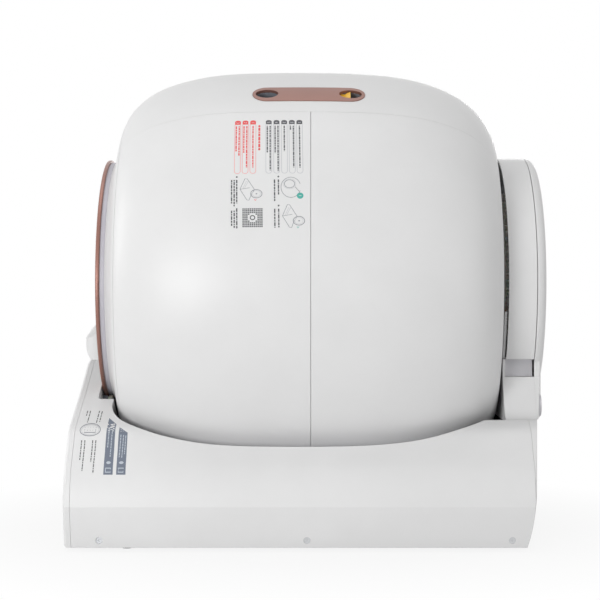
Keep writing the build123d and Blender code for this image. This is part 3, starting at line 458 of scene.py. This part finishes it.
class PrintSheet:
    """Artwork drawn flat in millimetres, then laid on a moulding as thin closed films."""

    # Edges longer than this are halved, at most so many times, to follow a curved moulding.
    longest_edge = 4.0
    split_passes = 6
    # Faces with more corners than a quad are cut into triangles first.
    quad_corners = 4

    def __init__(
        self, name: str, body: str, slot: str, lay: Callable[[float, float, float], Vector]
    ) -> None:
        """Starts an empty sheet.

        Args:
            name: Stem of the piece names.
            body: Body that the print rides on.
            slot: Material slot of the moulding under the print; not used.
            lay: Takes the two flat coordinates and a height, all in mm, and gives the place.
        """
        self.name = name
        self.body = body
        self.slot = slot
        self.lay = lay
        self.inks: dict[Ink, bmesh.types.BMesh] = {}

    def fill(self, ink: Ink, loop: Loop) -> None:
        """Adds a filled shape.

        Args:
            ink: Ink of the shape.
            loop: Its outline, convex or nearly so.
        """
        mesh = self.inks.setdefault(ink, bmesh.new())
        mesh.faces.new([mesh.verts.new((x, y, 0)) for x, y in loop])

    def stroke(self, ink: Ink, points: Loop, width: float, closed: bool = False) -> None:
        """Adds a line of even width along points.

        Args:
            ink: Ink of the line.
            points: The line's middle.
            width: Width of the line.
            closed: True joins the end to the start.
        """
        mesh = self.inks.setdefault(ink, bmesh.new())
        count = len(points)
        pairs = []
        for index, (x, y) in enumerate(points):
            before = points[(index - 1) % count] if closed or index else points[index]
            after = points[(index + 1) % count] if closed or index < count - 1 else points[index]
            along = Vector((after[0] - before[0], after[1] - before[1]))
            side = Vector((-along.y, along.x)).normalized() * width / 2
            pairs.append([mesh.verts.new((x + way * side.x, y + way * side.y, 0)) for way in (1, -1)])
        for index in range(count if closed else count - 1):
            a, b = pairs[index], pairs[(index + 1) % count]
            mesh.faces.new((a[0], a[1], b[1], b[0]))

    def draw(self, marks: Sequence[Line | Oval], at: Point = (0, 0)) -> None:
        """Adds the marks of a drawing.

        Args:
            marks: Its marks, in the order of printing.
            at: Middle of the drawing.
        """
        for mark in marks:
            if mark.width:
                self.stroke(mark.ink, mark.outline(at), mark.width, mark.closed)
            else:
                self.fill(mark.ink, mark.outline(at))

    def text(self, ink: Ink, across: float, start: float, end: float, text: FillerText) -> None:
        """Adds one line of filler text.

        Args:
            ink: Ink of the dashes.
            across: Middle of the line.
            start: Where the line starts.
            end: Where it ends.
            text: The kind of text.
        """
        for first, last in text.spans(across, start, end):
            self.stroke(ink, [(across, first), (across, last)], text.width)

    def finish(self) -> list[bpy.types.Object]:
        """Lays the artwork on the moulding and gives each ink its own piece.

        Returns:
            The pieces.
        """
        pieces = []
        for ink, mesh in self.inks.items():
            self.split(mesh)
            self.thicken(mesh, FILM_HEIGHTS_MM.get(ink, FILM_MM))
            data = bpy.data.meshes.new(f"{self.name}_{ink.name.lower()}")
            mesh.to_mesh(data)
            mesh.free()
            piece = bpy.data.objects.new(data.name, data)
            bpy.context.scene.collection.objects.link(piece)
            data.materials.append(InkFilm(ink).build())
            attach(piece, self.body)
            pieces.append(piece)
        return pieces

    def split(self, mesh: bmesh.types.BMesh) -> None:
        """Splits flat artwork finely enough to follow a curved moulding, and turns it face up.

        Args:
            mesh: The flat artwork of one ink.
        """
        bmesh.ops.triangulate(mesh, faces=[f for f in mesh.faces if len(f.verts) > self.quad_corners])
        for _ in range(self.split_passes):
            long_edges = [e for e in mesh.edges if e.calc_length() > self.longest_edge]
            if not long_edges:
                break
            bmesh.ops.subdivide_edges(mesh, edges=long_edges, cuts=1)
        bmesh.ops.recalc_face_normals(mesh, faces=mesh.faces)
        for face in mesh.faces:
            if face.normal.z < 0:
                face.normal_flip()

    def thicken(self, mesh: bmesh.types.BMesh, height_mm: float) -> None:
        """Turns flat artwork into closed films and lays them on the moulding.

        Args:
            mesh: The split artwork of one ink.
            height_mm: Film height over the moulding.
        """
        low = mesh.faces[:]
        made = bmesh.ops.extrude_face_region(mesh, geom=low, use_keep_orig=True)["geom"]
        upper = {item for item in made if isinstance(item, bmesh.types.BMVert)}
        for face in low:
            face.normal_flip()
        for vert in mesh.verts:
            vert.co = self.lay(vert.co.x, vert.co.y, height_mm if vert in upper else FILM_FOOT_MM)
        bmesh.ops.recalc_face_normals(mesh, faces=mesh.faces)


class Surface:
    """Finds places on a carried-over solid's skin."""

    def __init__(self, node: str) -> None:
        """Reads the solid's mesh.

        Args:
            node: Name of the solid.
        """
        mesh = frame["nodes"][node].data
        self.tree = BVHTree.FromPolygons(
            [v.co.copy() for v in mesh.vertices], [tuple(p.vertices) for p in mesh.polygons])

    def hit(self, start: Vector, direction: Vector, height_mm: float) -> Vector:
        """Casts onto the skin and steps back along the cast.

        Args:
            start: Start of the cast.
            direction: Its direction.
            height_mm: Height over the skin.

        Returns:
            The place.

        Raises:
            ValueError: The cast misses the skin.
        """
        place = self.tree.ray_cast(start, direction)[0]
        if place is None:
            raise ValueError(f"no skin from {start} along {direction}")
        return place - direction * height_mm * MM


# Digits as strokes in a box one unit wide and two high, for the numbered rows.
DIGIT_WIDE = 1.0
DIGIT_HIGH = 2.0
DIGIT_STROKES: dict[int, list[list[Point]]] = {
    1: [[(0.2, 1.6), (0.6, 2.0), (0.6, 0.0)]],
    2: [[(0.0, 1.6), (0.3, 2.0), (0.8, 1.9), (0.9, 1.4), (0.0, 0.0), (1.0, 0.0)]],
    3: [[(0.0, 1.8), (0.5, 2.0), (0.9, 1.5), (0.4, 1.1), (1.0, 0.6), (0.5, 0.0), (0.0, 0.2)]],
    4: [[(0.7, 0.0), (0.7, 2.0), (0.0, 0.7), (1.0, 0.7)]],
    5: [[(0.9, 2.0), (0.1, 2.0), (0.1, 1.1), (0.7, 1.1), (0.9, 0.6), (0.6, 0.0), (0.0, 0.1)]],
}


@dataclass(frozen=True)
class Row:
    """One numbered row: its left edge, its number, and how far down each line of text reaches."""

    left: float
    number: int
    reaches: tuple[float, ...]


@dataclass(frozen=True)
class Caption:
    """A block of text: its first line's middle, the lines' pitch, its start and their lengths."""

    middle: float
    pitch: float
    start: float
    lengths: tuple[float, ...]


@dataclass
class DrumGuide:
    """The printed guide on the drum: numbered rows and small line drawings."""

    # Where the sheet's upper left corner lies on the drum, and how the sheet is stretched and leans.
    left_x: float = -81.2
    stretch: float = 1.02
    lean: float = 0.016
    axis_z: float = 325.0
    cast_from: float = 400.0
    first_angle_degrees: float = 44.44
    radius: float = 276.5
    row_width: float = 6.9
    row_length: float = 85.5
    head_length: float = 7.6
    head_gap: float = 0.4
    head_cap_share: float = 0.8
    rim_width: float = 0.6
    digit_width: float = 0.5
    head_digit_scale: float = 1.6
    head_digit_drop: float = 4.4
    dot_digit_scale: float = 1.5
    text_margin: float = 3.0
    text_side: float = 1.7
    bullet_radius: float = 1.1
    bullet_gap: float = 4.0
    swatch_corner: Point = (9.5, 131.5)
    swatch_size: float = 24.0
    swatch_count: int = 11
    # Radius of the bare middle, in dots, then half the width of a dot and the ring's radius.
    swatch_hole: float = 2.4
    swatch_dot: float = 0.8
    swatch_ring: float = 2.6
    swatch_ring_width: float = 1.1

    text = FillerText((3.4, 1.8, 4.6, 2.6, 3.9, 1.4, 5.2, 2.9), 0.9, 1.55, stir=3.0)
    red_rows = (Row(0.4, 3, (60.0, 53.1)), Row(9.5, 2, (77.2, 55.0)), Row(18.6, 1, (77.4,)))
    grey_rows = (
        Row(37.4, 5, (81.5, 55.0)), Row(46.7, 4, (84.0, 56.0)), Row(55.9, 3, (53.1,)),
        Row(65.1, 2, (77.2, 18.0)), Row(74.1, 1, (77.6,)),
    )
    heading = FillerText((3.4, 5.2, 2.2, 4.4, 6.0, 2.8, 5.6, 3.2), 1.3, 2.3)
    heading_middle = 29.6
    heading_ends = (9.5, 51.4)
    captions = (
        Caption(52.0, 4.6, 90.2, (24.0, 32.5)), Caption(52.0, 4.6, 128.5, (27.5, 27.5)),
        Caption(3.2, 3.0, 90.2, (35.0, 39.0, 35.0)),
    )
    # The closing lines of the last block: middle, start and length of each.
    closing_lines = ((3.2, 131.5, 25.5), (0.2, 134.5, 21.5), (-2.8, 134.5, 19.0))

    drum_place = (66.5, 104.5)
    drum_dot = (10.7, 11.2)
    # The drum with its mouth, a pointer and a dot that takes a number.
    drum_marks = (
        Oval(Ink.GREY, (0, 0), (11.5, 13.5), 0.6, 20, 320, 44),
        Oval(Ink.GREY, (-1.5, -4.5), (6.0, 5.4), 0.7),
        Oval(Ink.PALE, (-1.5, -4.5), (7.4, 6.8), 0.4),
        Line(Ink.GREY, ((5.0, -0.5), (10.0, 6.0)), 0.6),
        Oval(Ink.TEAL, drum_dot, (3.9, 4.0), steps=ROUND_STEPS),
    )
    base_places = ((Ink.RED, (19.5, 107.0)), (Ink.TEAL, (68.8, 141.5)))
    # The base as a tray with its rear bearing.
    base_marks = (
        Line(Ink.GREY, ((-12.5, 0.0), (-6.5, -14.5), (-4.0, -14.0), (4.5, 0.5), (0.5, 7.5), (-2.0, 14.5),
                        (-4.5, 14.0)), 0.6, True),
        Line(Ink.GREY, ((-12.5, 0.0), (-1.0, -2.0)), 0.5),
        Line(Ink.PALE, ((-9.0, -1.5), (-4.8, -11.0)), 0.5),
        Line(Ink.PALE, ((-7.0, -2.0), (-2.9, -10.5)), 0.5),
        Oval(Ink.GREY, (6.6, 6.0), (6.6, 5.4), 0.8),
        Oval(Ink.PALE, (6.6, 6.0), (4.9, 3.9), 0.4),
        Oval(Ink.GREY, (6.8, 6.0), (1.0, 0.8), steps=SMALL_STEPS),
    )
    arrow_points = ((4.2, 13.0), (5.4, 15.0), (6.6, 13.0))
    arrow_width = 0.6

    def build(self) -> list[bpy.types.Object]:
        """Draws the guide and lays it on the front half shell.

        Returns:
            The printed pieces.
        """
        skin = Surface("drum_front_shell")

        def lay(u: float, v: float, height_mm: float) -> Vector:
            """Place on the drum: u runs towards +X and v down round the drum."""
            angle = math.radians(self.first_angle_degrees) + v / self.radius
            outward = Vector((0, -math.sin(angle), math.cos(angle)))
            across = self.left_x + self.stretch * u + self.lean * v
            start = (Vector((across, 0, self.axis_z)) + outward * self.cast_from) * MM
            return skin.hit(start, -outward, height_mm)

        sheet = PrintSheet("drum_guide", "drum", "white_abs", lay)
        for row in self.red_rows:
            self.draw_row(sheet, row, Ink.RED, Ink.SOFT_RED)
        for row in self.grey_rows:
            self.draw_row(sheet, row, Ink.SLATE, Ink.PALE)
        sheet.text(Ink.RED, self.heading_middle, *self.heading_ends, self.heading)
        sheet.draw(self.drum_marks, self.drum_place)
        dot = (self.drum_place[0] + self.drum_dot[0], self.drum_place[1] + self.drum_dot[1])
        self.draw_digit(sheet, 1, dot, self.dot_digit_scale)
        for mark, place in self.base_places:
            sheet.draw([*self.base_marks, Line(mark, self.arrow_points, self.arrow_width)], place)
        self.draw_captions(sheet)
        self.draw_swatch(sheet)
        return sheet.finish()

    def draw_digit(self, sheet: PrintSheet, number: int, middle: Point, scale: float) -> None:
        """Draws a white digit on its side, as the guide is read along the drum's turn.

        Args:
            sheet: Sheet to draw on.
            number: The digit.
            middle: Its middle.
            scale: Width of its box.
        """
        for stroke in DIGIT_STROKES[number]:
            points = [
                (middle[0] + (b - DIGIT_HIGH / 2) * scale, middle[1] + (a - DIGIT_WIDE / 2) * scale)
                for a, b in stroke]
            sheet.stroke(Ink.WHITE, points, self.digit_width)

    def draw_row(self, sheet: PrintSheet, row: Row, head: Ink, rim: Ink) -> None:
        """Draws one numbered row: a filled head, a thin outline and its lines.

        Args:
            sheet: Sheet to draw on.
            row: The row.
            head: Ink of the head and lines.
            rim: Ink of the outline.
        """
        half = self.row_width / 2
        left, middle, right = row.left, row.left + half, row.left + self.row_width
        cap = half * self.head_cap_share
        top = arc_loop((middle, cap), (half, cap), HALF_TURN, HALF_TURN, SMALL_STEPS)
        sheet.fill(head, [*top, (right, self.head_length), (left, self.head_length)])
        self.draw_digit(sheet, row.number, (middle, self.head_digit_drop), self.head_digit_scale)
        start = self.head_length + self.head_gap
        end = self.row_length - half
        foot = arc_loop((middle, end), (half, half), 0, HALF_TURN, SMALL_STEPS)[::-1]
        rim_points = [(left, start), (left, end), *foot[1:-1], (right, end), (right, start)]
        sheet.stroke(rim, rim_points, self.rim_width)
        offsets = (0,) if len(row.reaches) == 1 else (self.text_side, -self.text_side)
        for offset, reach in zip(offsets, row.reaches):
            stop = min(reach, self.row_length - self.text_margin)
            sheet.text(head, middle + offset, self.head_length + self.text_margin, stop, self.text)

    def draw_captions(self, sheet: PrintSheet) -> None:
        """Draws the bulleted blocks of text.

        Args:
            sheet: Sheet to draw on.
        """
        radii = (self.bullet_radius, self.bullet_radius)
        for block in self.captions:
            sheet.fill(Ink.SLATE, arc_loop((block.middle, block.start), radii, steps=SMALL_STEPS))
            for index, length in enumerate(block.lengths):
                across = block.middle - block.pitch * index
                start, end = block.start + self.bullet_gap, block.start + length
                sheet.text(Ink.SLATE, across, start, end, self.text)
        for across, start, length in self.closing_lines:
            sheet.text(Ink.SLATE, across, start, start + length, self.text)

    def draw_swatch(self, sheet: PrintSheet) -> None:
        """Draws a square field of even dots round a plain ring.

        Args:
            sheet: Sheet to draw on.
        """
        left, top = self.swatch_corner
        pitch = self.swatch_size / self.swatch_count
        middle = (self.swatch_count - 1) / 2
        dot = self.swatch_dot
        for row in range(self.swatch_count):
            for column in range(self.swatch_count):
                if math.hypot(row - middle, column - middle) < self.swatch_hole:
                    continue
                x = left + (column + 1 / 2) * pitch
                y = top + (row + 1 / 2) * pitch
                sheet.fill(Ink.SLATE, box_loop(x - dot, y - dot, x + dot, y + dot))
        center = (left + self.swatch_size / 2, top + self.swatch_size / 2)
        ring = arc_loop(center, (self.swatch_ring, self.swatch_ring), steps=ROUND_STEPS)
        sheet.stroke(Ink.SLATE, ring, self.swatch_ring_width, closed=True)


@dataclass
class BaseGuide:
    """The printed strip on the near side of the base: text columns, a ring mark and two bars."""

    cast_from: float = 400.0
    bar_spans: int = 24
    sign_middles: tuple[float, float] = (-231.6, -216.2)

    column_text = FillerText((2.4, 3.6, 1.6, 2.9), 0.7, 1.15, stir=1.0)
    bar_text = FillerText((2.4, 3.6, 1.6, 2.9), 0.7, 1.0, stir=1.0)
    # Low left, low right, high right and high left corner of each bar.
    bars = (
        ((-236.8, 93.1), (-225.6, 93.1), (-227.0, 149.2), (-237.8, 155.4)),
        ((-221.4, 93.1), (-210.2, 93.1), (-211.6, 140.2), (-222.6, 146.4)),
    )
    # Middle, lowest end and highest end of each column of text.
    columns = (
        (-266.7, 109.5, 131.6), (-262.7, 97.5, 131.6), (-253.2, 107.4, 131.6), (-249.4, 95.6, 131.6),
        (-267.0, 157.8, 163.0), (-263.4, 151.0, 163.0), (-252.2, 150.5, 163.0), (-248.6, 151.5, 162.6),
    )
    bar_columns = (
        (-234.4, 123.0, 145.0), (-230.4, 113.0, 144.0), (-219.4, 112.5, 138.0),
        (-216.2, 112.0, 137.6), (-213.4, 116.0, 137.0),
    )
    # A frame with an oval over it, at the foot of each bar.
    sign_marks = (
        Line(Ink.MIST, ((-3.0, 96.0), (3.0, 96.0), (3.0, 100.5), (-3.0, 100.5)), 1.2, True),
        Oval(Ink.MIST, (0, 106.6), (2.7, 1.5), steps=20),
    )
    # A double ring round a comb.
    ring_marks = (
        Oval(Ink.GREY, (-257.8, 143.2), (12.4, 6.6), 0.9),
        Oval(Ink.PALE, (-257.8, 143.2), (10.6, 5.4), 0.5),
        Line(Ink.GREY, ((-264.5, 146.0), (-264.5, 140.4), (-251.0, 140.4), (-251.0, 146.0)), 0.9),
        Line(Ink.GREY, ((-261.0, 146.4), (-261.0, 142.6)), 0.8),
        Line(Ink.GREY, ((-257.8, 146.4), (-257.8, 142.6)), 0.8),
        Line(Ink.GREY, ((-254.6, 146.4), (-254.6, 142.6)), 0.8),
    )

    def build(self) -> list[bpy.types.Object]:
        """Draws the strip and lays it on the left side shell.

        Returns:
            The printed pieces.
        """
        skin = Surface("left_side_shell")

        def lay(u: float, v: float, height_mm: float) -> Vector:
            """Place on the side shell: u is X and v is Z in the frame."""
            return skin.hit(Vector((u, -self.cast_from, v)) * MM, Vector((0, 1, 0)), height_mm)

        sheet = PrintSheet("base_guide", "base", "white_abs", lay)
        for corners in self.bars:
            self.fill_bar(sheet, corners)
        for across, low, high in self.columns:
            sheet.text(Ink.SLATE, across, high, low, self.column_text)
        for across, low, high in self.bar_columns:
            sheet.text(Ink.MIST, across, high, low, self.bar_text)
        for across in self.sign_middles:
            sheet.draw(self.sign_marks, (across, 0))
        sheet.draw(self.ring_marks)
        return sheet.finish()

    def fill_bar(self, sheet: PrintSheet, corners: Sequence[Point]) -> None:
        """Fills a bar in short spans, so that the film follows the shell.

        Args:
            sheet: Sheet to draw on.
            corners: Low left, low right, high right and high left corner.
        """
        low_left, low_right, high_right, high_left = corners
        for step in range(self.bar_spans):
            near, far = step / self.bar_spans, (step + 1) / self.bar_spans
            sheet.fill(Ink.BAR, [
                between(low_left, high_left, near), between(low_right, high_right, near),
                between(low_right, high_right, far), between(low_left, high_left, far)])


@dataclass
class Camera:
    """The camera at the photograph's place."""

    place: Place = (0.0135, -2.29, 0.325)
    lens_mm: float = 102.54
    sensor_mm: float = 36.0
    shift: Point = (-0.02, -0.0312)
    clip: Point = (0.05, 60.0)

    def build(self) -> None:
        """Makes the camera, level and looking along +Y, and sets it as the scene's."""
        data = bpy.data.cameras.new("camera")
        data.lens = self.lens_mm
        data.sensor_width = self.sensor_mm
        data.shift_x, data.shift_y = self.shift
        data.clip_start, data.clip_end = self.clip
        camera = bpy.data.objects.new("camera", data)
        camera.location = self.place
        camera.rotation_euler = (math.pi / 2, 0, 0)
        bpy.context.scene.collection.objects.link(camera)
        bpy.context.scene.camera = camera


@dataclass(frozen=True)
class Lamp:
    """A soft round light."""

    name: str
    place: Place
    size: float
    watts: float
    aim: Place = (0, 0, 0.3)

    def build(self) -> None:
        """Makes the light and turns it to its aim."""
        data = bpy.data.lights.new(self.name, "AREA")
        data.shape = "DISK"
        data.size = self.size
        data.energy = self.watts
        lamp = bpy.data.objects.new(self.name, data)
        lamp.location = self.place
        turn = (Vector(self.aim) - Vector(self.place)).to_track_quat("-Z", "Y")
        lamp.rotation_euler = turn.to_euler()
        bpy.context.scene.collection.objects.link(lamp)


@dataclass
class Studio:
    """Pale floor, white surroundings and soft lights."""

    floor_half: float = 6.0
    floor_cells: int = 8
    floor_z: float = -0.0002
    floor_colour: str = "DADADA"
    shadow_near: float = 0.32
    shadow_far: float = 0.6
    near_whiteness: float = 0.88
    dome_level: float = 0.47

    white = (1, 1, 1, 1)
    lamps = (
        Lamp("key", place=(-1.2, -2.4, 0.25), size=1.0, watts=34.0),
        Lamp("side", place=(-2.6, 0.6, 0.9), size=1.2, watts=11.0),
        Lamp("top", place=(-0.2, -0.2, 2.3), size=1.4, watts=7.0),
        Lamp("fill", place=(2.0, -1.6, 0.8), size=1.2, watts=5.0),
        Lamp("back", place=(0.4, 2.6, 0.7), size=1.2, watts=14.0),
    )

    def build(self) -> None:
        """Makes the dome, the floor and the lights, and sets the view transform."""
        self.build_dome()
        self.build_floor()
        for lamp in self.lamps:
            lamp.build()
        bpy.context.scene.view_settings.view_transform = "Standard"

    @staticmethod
    def seen_white(tree: bpy.types.NodeTree) -> bpy.types.NodeSocket:
        """Adds the test for rays that should meet plain white.

        Args:
            tree: Node tree that gets the test.

        Returns:
            One for camera, glossy and transmission rays, else zero.
        """
        rays = add_node(tree, "ShaderNodeLightPath").outputs
        maximum = {"operation": "MAXIMUM"}
        direct = {0: rays["Is Camera Ray"], 1: rays["Is Glossy Ray"]}
        first = add_node(tree, "ShaderNodeMath", maximum, direct)
        passing = {0: first.outputs[0], 1: rays["Is Transmission Ray"]}
        return add_node(tree, "ShaderNodeMath", maximum, passing).outputs[0]

    def build_dome(self) -> None:
        """Makes the world: white where it is seen, and a softer level as light."""
        world = bpy.data.worlds.new("dome")
        world.use_nodes = True
        tree = world.node_tree
        tree.nodes.clear()
        light = add_node(
            tree, "ShaderNodeBackground", {"@Color": self.white, "@Strength": self.dome_level})
        white = add_node(tree, "ShaderNodeBackground", {"@Color": self.white})
        mixed = add_node(
            tree, "ShaderNodeMixShader", None,
            {0: self.seen_white(tree), 1: light.outputs[0], 2: white.outputs[0]})
        add_node(tree, "ShaderNodeOutputWorld", None, {"Surface": mixed.outputs[0]})
        bpy.context.scene.world = world

    def floor_material(self) -> bpy.types.Material:
        """Makes the floor's material: white far out, with the object's shadow kept near it.

        Returns:
            The material.
        """
        material, tree = empty_material("studio_floor")
        place = add_node(tree, "ShaderNodeTexCoord").outputs["Object"]
        reach = add_node(tree, "ShaderNodeVectorMath", {"operation": "LENGTH"}, {0: place})
        whiteness = add_node(
            tree, "ShaderNodeMapRange",
            {"@From Min": self.shadow_near, "@From Max": self.shadow_far,
             "@To Min": self.near_whiteness, "@To Max": 1.0},
            {"Value": reach.outputs["Value"]})
        seen = add_node(
            tree, "ShaderNodeMath", {"operation": "MULTIPLY"},
            {0: self.seen_white(tree), 1: whiteness.outputs[0]})
        lit = add_node(tree, "ShaderNodeBsdfDiffuse", {"@Color": linear(self.floor_colour)})
        glow = add_node(tree, "ShaderNodeEmission", {"@Color": self.white, "@Strength": 1.0})
        mixed = add_node(
            tree, "ShaderNodeMixShader", None,
            {0: seen.outputs[0], 1: lit.outputs[0], 2: glow.outputs[0]})
        add_node(tree, "ShaderNodeOutputMaterial", None, {"Surface": mixed.outputs[0]})
        return material

    def build_floor(self) -> None:
        """Makes the floor, which is near white where lit and keeps the object's shadow."""
        mesh = bmesh.new()
        bmesh.ops.create_grid(
            mesh, x_segments=self.floor_cells, y_segments=self.floor_cells, size=self.floor_half)
        data = bpy.data.meshes.new("floor")
        mesh.to_mesh(data)
        mesh.free()
        data.materials.append(self.floor_material())
        floor = bpy.data.objects.new("floor", data)
        floor.location.z = self.floor_z
        bpy.context.scene.collection.objects.link(floor)
        floor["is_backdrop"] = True


def main() -> None:
    """Builds the scene in order."""
    logging.basicConfig(level=logging.INFO, format="%(name)s: %(message)s")
    Camera().build()
    finishes = Finishes()
    finishes.dress_nodes()
    LOG.info("dressed %d solids", len(frame["nodes"]))
    for group in (DrumGuide(), BaseGuide()):
        for piece in group.build():
            LOG.info("%s with %d faces", piece.name, len(piece.data.polygons))
    Studio().build()
    boxes = {"cad": BOX_AT_LOAD, "visual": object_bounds()}
    {key: [list(corner) for corner in pair] for key, pair in boxes.items()}


if __name__ == "__main__":
    main()
